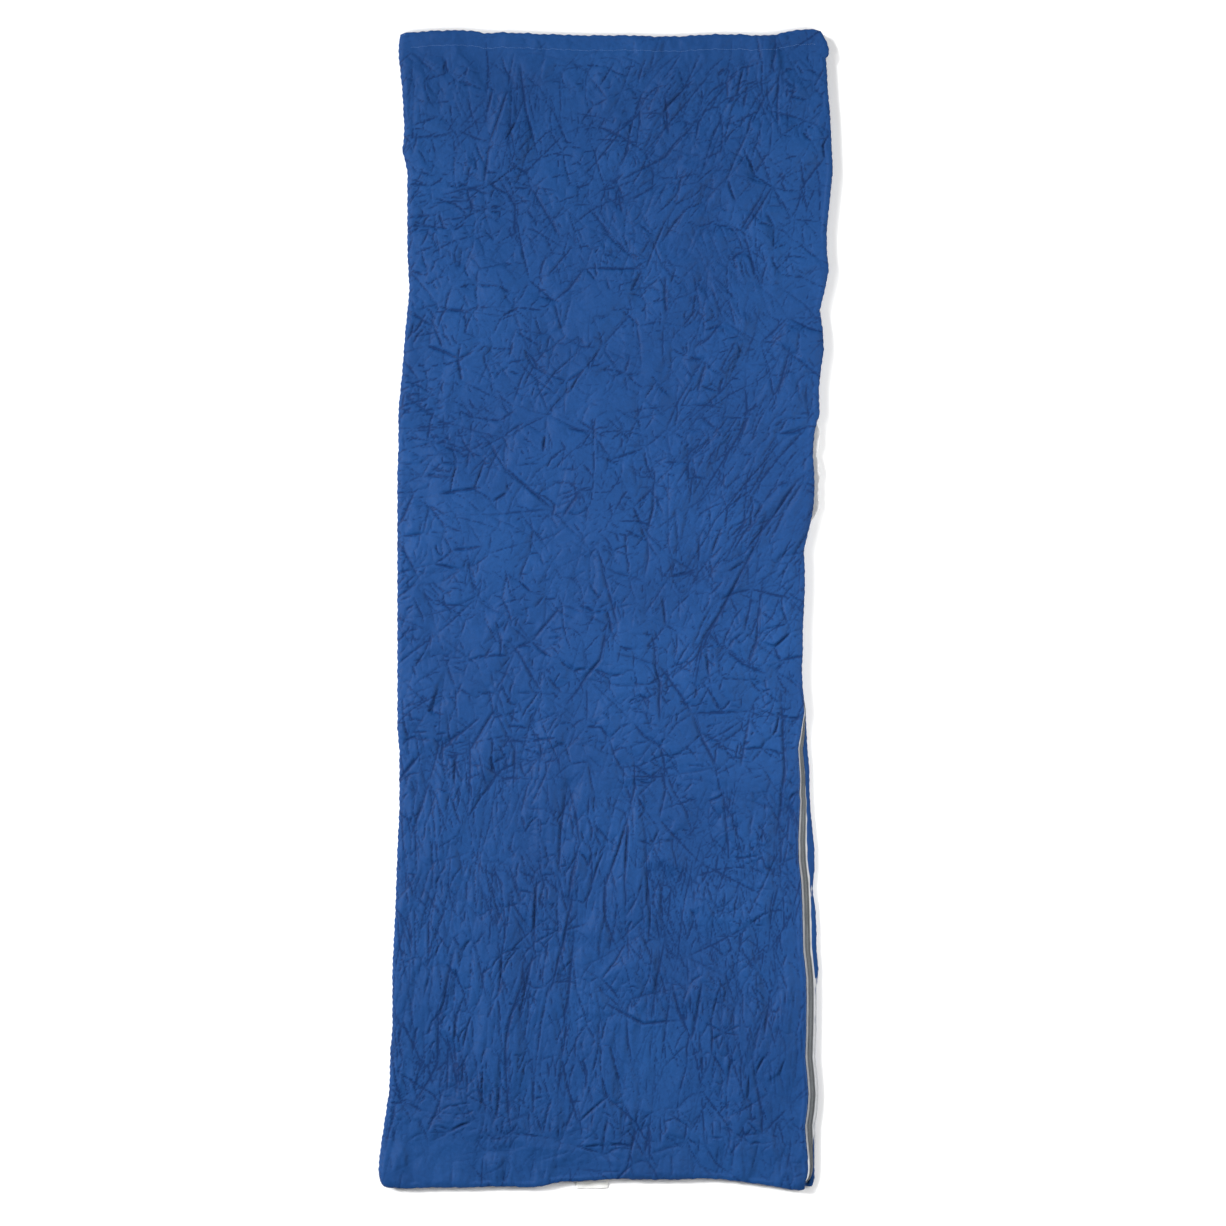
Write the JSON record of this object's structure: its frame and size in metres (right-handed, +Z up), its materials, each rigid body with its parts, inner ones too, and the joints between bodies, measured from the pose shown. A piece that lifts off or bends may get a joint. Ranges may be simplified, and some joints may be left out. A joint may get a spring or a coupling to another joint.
{
  "type": "rectangular sleeping bag",
  "caption": "Thin rectangular sleeping bag laid flat: two padded quilts joined along a fold and closed by a zip down one side and across the foot.",
  "frame": {"origin": "middle of the footprint, on the ground under the bag", "axes": "+Z up, +Y to the mouth, +X to the zip side"},
  "size_m": [0.732, 1.996, 0.022],
  "materials": {
    "shell_fabric": "royal blue polyester taffeta, crinkled, low sheen",
    "lining_fabric": "white soft-handle lining cloth",
    "fill_batting": "hollow fibre batt",
    "zip_tape": "light grey woven zip tape",
    "zip_coil": "grey nylon coil",
    "zip_plastic": "grey moulded acetal",
    "label_tape": "blank white woven label",
    "slider_metal": "dark enamelled zinc"
  },
  "bodies": {
    "under_quilt": {"under_shell": "shell_fabric", "under_fill": "fill_batting", "under_lining": "lining_fabric", "shell_side_fold": "shell_fabric", "care_label": "label_tape", "under_zip_tape": "zip_tape", "under_zip_coil": "zip_coil", "under_top_stop": "zip_plastic", "zip_retainer_box": "zip_plastic"},
    "over_quilt": {"over_shell": "shell_fabric", "over_fill": "fill_batting", "over_lining": "lining_fabric", "over_zip_tape": "zip_tape", "over_zip_coil": "zip_coil", "over_top_stop": "zip_plastic", "zip_insertion_pin": "zip_plastic"},
    "side_slider": {"side_slider_body": "slider_metal"},
    "side_pull": {"side_pull_tab": "slider_metal"},
    "foot_slider": {"foot_slider_body": "slider_metal"},
    "foot_pull": {"foot_pull_tab": "slider_metal"}
  },
  "joints": [
    {"name": "quilt_fold", "type": "hinge", "parent": "under_quilt", "child": "over_quilt", "pos_m": [-0.3655, 0, 0.011], "axis": [0, -1, 0], "range_deg": [0, 180]},
    {"name": "side_zip", "type": "slide", "parent": "under_quilt", "child": "side_slider", "axis": [0, -1, 0], "range_m": [0, 1.92], "deforming": ["under_zip_coil", "over_zip_coil"]},
    {"name": "foot_zip", "type": "slide", "parent": "under_quilt", "child": "foot_slider", "axis": [1, 0, 0], "range_m": [0, 0.66], "deforming": ["under_zip_coil", "over_zip_coil"]},
    {"name": "side_pull_swing", "type": "hinge", "parent": "side_slider", "child": "side_pull", "pos_m": [0.3641, 0.9789, 0.011], "axis": [0, 0, 1], "range_deg": [0, 170]},
    {"name": "foot_pull_swing", "type": "hinge", "parent": "foot_slider", "child": "foot_pull", "pos_m": [-0.3454, -0.9961, 0.011], "axis": [0, 0, -1], "range_deg": [0, 170]}
  ]
}
